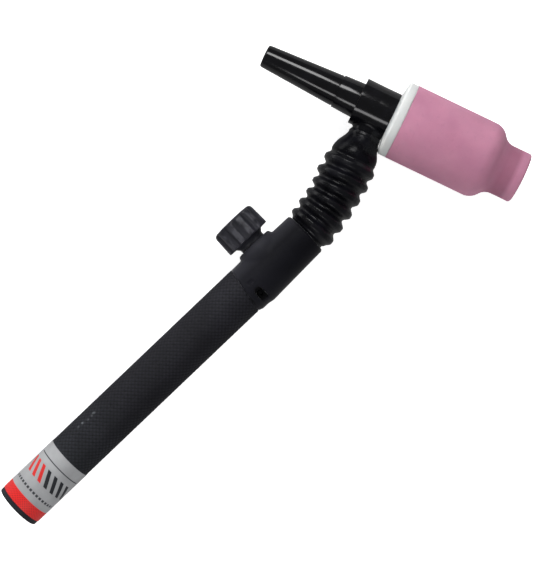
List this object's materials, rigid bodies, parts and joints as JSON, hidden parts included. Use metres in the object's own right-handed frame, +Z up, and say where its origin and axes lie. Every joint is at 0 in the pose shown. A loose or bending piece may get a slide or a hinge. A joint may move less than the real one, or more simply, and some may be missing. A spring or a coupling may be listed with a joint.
{
  "type": "tig torch",
  "caption": "Air-cooled TIG welding torch: knurled tube handle, side gas valve knob, ribbed bendable neck, T-shaped head with tapered back cap and a large pink ceramic nozzle.",
  "frame": {"origin": "centre of the handle's open rear end, where the power cable and its cover go in", "axes": "+X along the handle towards the head, +Y across it towards the valve knob and the back cap's side, +Z up out of the torch's flat plane as it lies on its side"},
  "size_m": [0.2186, 0.0989, 0.028],
  "materials": {
    "handle_plastic": "diamond-knurled moulded black",
    "label_film": "silver-grey film label with plain red bands",
    "black_steel": "black oxide",
    "black_plastic": "satin moulded black",
    "brass": "turned",
    "o_ring_rubber": "smooth",
    "knob_plastic": "satin moulded black",
    "steel": "bright",
    "ptfe": "white waxy PTFE",
    "copper": "bright copper",
    "neck_rubber": "satin silicone rubber",
    "phenolic": "glossy moulded black",
    "steel_mesh": "woven wire",
    "tungsten": "ground",
    "alumina": "matte pink alumina"
  },
  "bodies": {
    "handle": {"handle": "handle_plastic", "handle_label": "label_film", "handle_screw": "black_steel", "valve_housing": "black_plastic", "valve_block": "brass", "tail_nipple": "brass", "gland_nut": "brass", "neck_rear_ferrule": "brass"},
    "valve_seal": {"valve_o_ring": "o_ring_rubber"},
    "knob": {"valve_stem": "brass", "valve_knob": "knob_plastic", "knob_screw": "steel"},
    "neck_lower": {"neck_gas_tube": "ptfe", "neck_braid": "copper"},
    "neck_upper": {"neck_cover": "neck_rubber"},
    "head": {"neck_front_ferrule": "brass", "head_body": "brass", "head_jacket": "phenolic", "insulator": "ptfe", "gas_lens_body": "brass", "gas_lens_screens": "steel_mesh", "screen_ring": "steel", "collet": "copper"},
    "cap_seal": {"back_cap_o_ring": "o_ring_rubber"},
    "back_cap": {"back_cap": "phenolic", "back_cap_ferrule": "brass"},
    "nozzle": {"nozzle": "alumina"},
    "electrode": {"electrode": "tungsten"}
  },
  "joints": [
    {"name": "valve_lift", "type": "slide", "parent": "handle", "child": "valve_seal", "axis": [0, 1, 0], "range_m": [0, 0.0012]},
    {"name": "valve_turn", "type": "hinge", "parent": "valve_seal", "child": "knob", "pos_m": [0.1254, 0, 0], "axis": [0, 1, 0], "range_deg": [0, 540]},
    {"name": "neck_bend", "type": "hinge", "parent": "handle", "child": "neck_lower", "pos_m": [0.14688, 0.00006, 0], "axis": [0, 0, 1], "range_deg": [-22, 22], "deforming": ["neck_cover", "neck_braid", "neck_gas_tube"]},
    {"name": "neck_sway", "type": "hinge", "parent": "neck_lower", "child": "neck_upper", "pos_m": [0.15697, 0.00209, 0], "axis": [-0.2679, 0.9635, 0], "range_deg": [-28, 28], "deforming": ["neck_cover", "neck_braid", "neck_gas_tube"]},
    {"name": "neck_bend_upper", "type": "hinge", "parent": "neck_upper", "child": "head", "pos_m": [0.16669, 0.00546, 0], "axis": [0, 0, 1], "range_deg": [-22.1, 22.1], "deforming": ["neck_cover", "neck_braid", "neck_gas_tube"]},
    {"name": "back_cap_travel", "type": "slide", "parent": "head", "child": "cap_seal", "axis": [-0.3535, 0.9354, 0], "range_m": [0, 0.00317]},
    {"name": "back_cap_turn", "type": "hinge", "parent": "cap_seal", "child": "back_cap", "pos_m": [0.19015, 0.01432, 0], "axis": [-0.3535, 0.9354, 0], "range_deg": [0, 900]},
    {"name": "nozzle_turn", "type": "hinge", "parent": "head", "child": "nozzle", "pos_m": [0.19015, 0.01432, 0], "axis": [0.3535, -0.9354, 0], "range_deg": [0, 720]},
    {"name": "electrode_slide", "type": "slide", "parent": "head", "child": "electrode", "axis": [0.3535, -0.9354, 0], "range_m": [-0.01, 0.016]}
  ],
  "couplings": [
    {"joint": "valve_turn", "follows": "valve_lift", "rad_per_m": 7854},
    {"joint": "neck_bend_upper", "follows": "neck_bend", "ratio": 1},
    {"joint": "back_cap_turn", "follows": "back_cap_travel", "rad_per_m": 4947.4}
  ]
}
